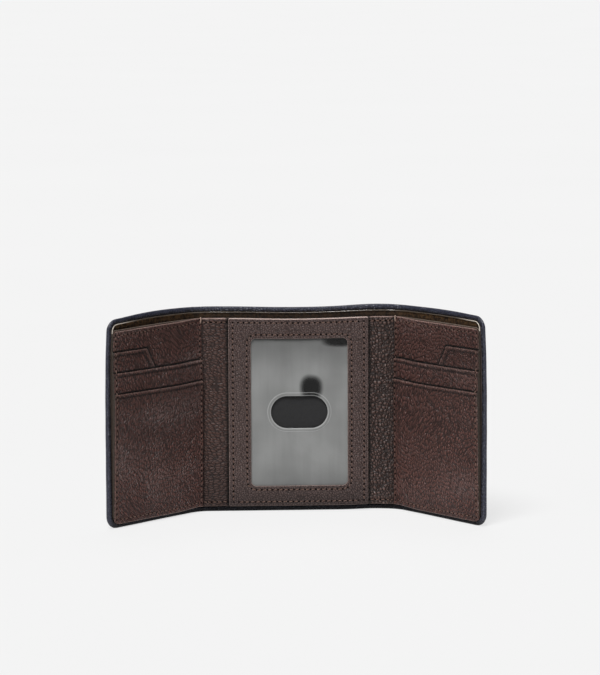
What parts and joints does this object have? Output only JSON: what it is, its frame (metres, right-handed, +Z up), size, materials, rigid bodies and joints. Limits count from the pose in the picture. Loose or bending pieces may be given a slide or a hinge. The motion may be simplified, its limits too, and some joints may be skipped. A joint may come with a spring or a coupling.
{
  "type": "trifold wallet",
  "caption": "Leather trifold wallet standing open, with two card flaps folded towards the user and a central identity window with a thumb hole.",
  "frame": {"origin": "middle of the lower edge of the centre shell, in the middle of the turned edge's thickness", "axes": "+X to the right of someone who looks into the open wallet, -Y towards that person, +Z up"},
  "size_m": [0.1893, 0.0545, 0.1055],
  "materials": {
    "navy_leather": "dark navy pebbled leather, satin, edge turned over",
    "brown_leather": "dark brown grained leather, satin",
    "gusset_leather": "dark brown leather with a coarse pebble grain",
    "note_lining": "matt dark olive-brown lining",
    "pocket_backing": "matt charcoal sheet behind the identity window",
    "clear_film": "clear flexible film, glossy",
    "brown_thread": "waxed brown sewing thread"
  },
  "bodies": {
    "centre": {"centre_shell": "navy_leather", "centre_lining": "note_lining", "centre_divider": "note_lining", "id_backing": "pocket_backing", "id_window_film": "clear_film", "id_frame": "brown_leather", "id_left_seam_thread": "brown_thread", "id_right_seam_thread": "brown_thread", "id_top_seam_thread": "brown_thread", "id_bottom_seam_thread": "brown_thread", "id_window_seam_thread": "brown_thread"},
    "left_spine": {"left_spine_shell": "navy_leather", "left_spine_lining": "note_lining", "left_gusset": "gusset_leather"},
    "left_flap": {"left_flap_shell": "navy_leather", "left_flap_lining": "note_lining", "left_flap_divider": "note_lining", "left_flap_base": "brown_leather", "left_tab_pocket": "brown_leather", "left_middle_pocket": "brown_leather", "left_front_pocket": "brown_leather", "left_top_seam_thread": "brown_thread", "left_bottom_seam_thread": "brown_thread", "left_outer_seam_thread": "brown_thread", "left_inner_seam_thread": "brown_thread"},
    "right_spine": {"right_spine_shell": "navy_leather", "right_spine_lining": "note_lining", "right_gusset": "gusset_leather"},
    "right_flap": {"right_flap_shell": "navy_leather", "right_flap_lining": "note_lining", "right_flap_divider": "note_lining", "right_flap_base": "brown_leather", "right_tab_pocket": "brown_leather", "right_middle_pocket": "brown_leather", "right_front_pocket": "brown_leather", "right_top_seam_thread": "brown_thread", "right_bottom_seam_thread": "brown_thread", "right_outer_seam_thread": "brown_thread", "right_inner_seam_thread": "brown_thread"}
  },
  "joints": [
    {"name": "left_spine_fold", "type": "hinge", "parent": "centre", "child": "left_spine", "pos_m": [-0.038, 0, 0], "axis": [0, 0, 1], "range_deg": [0, 90]},
    {"name": "left_flap_fold", "type": "hinge", "parent": "left_spine", "child": "left_flap", "pos_m": [-0.0512, 0, 0], "axis": [0, 0, 1], "range_deg": [-45.5, 48.5]},
    {"name": "right_spine_fold", "type": "hinge", "parent": "centre", "child": "right_spine", "pos_m": [0.038, 0, 0], "axis": [0, 0, -1], "range_deg": [0, 90]},
    {"name": "right_flap_fold", "type": "hinge", "parent": "right_spine", "child": "right_flap", "pos_m": [0.0512, 0, 0], "axis": [0, 0, -1], "range_deg": [-53.5, 31.5]}
  ]
}
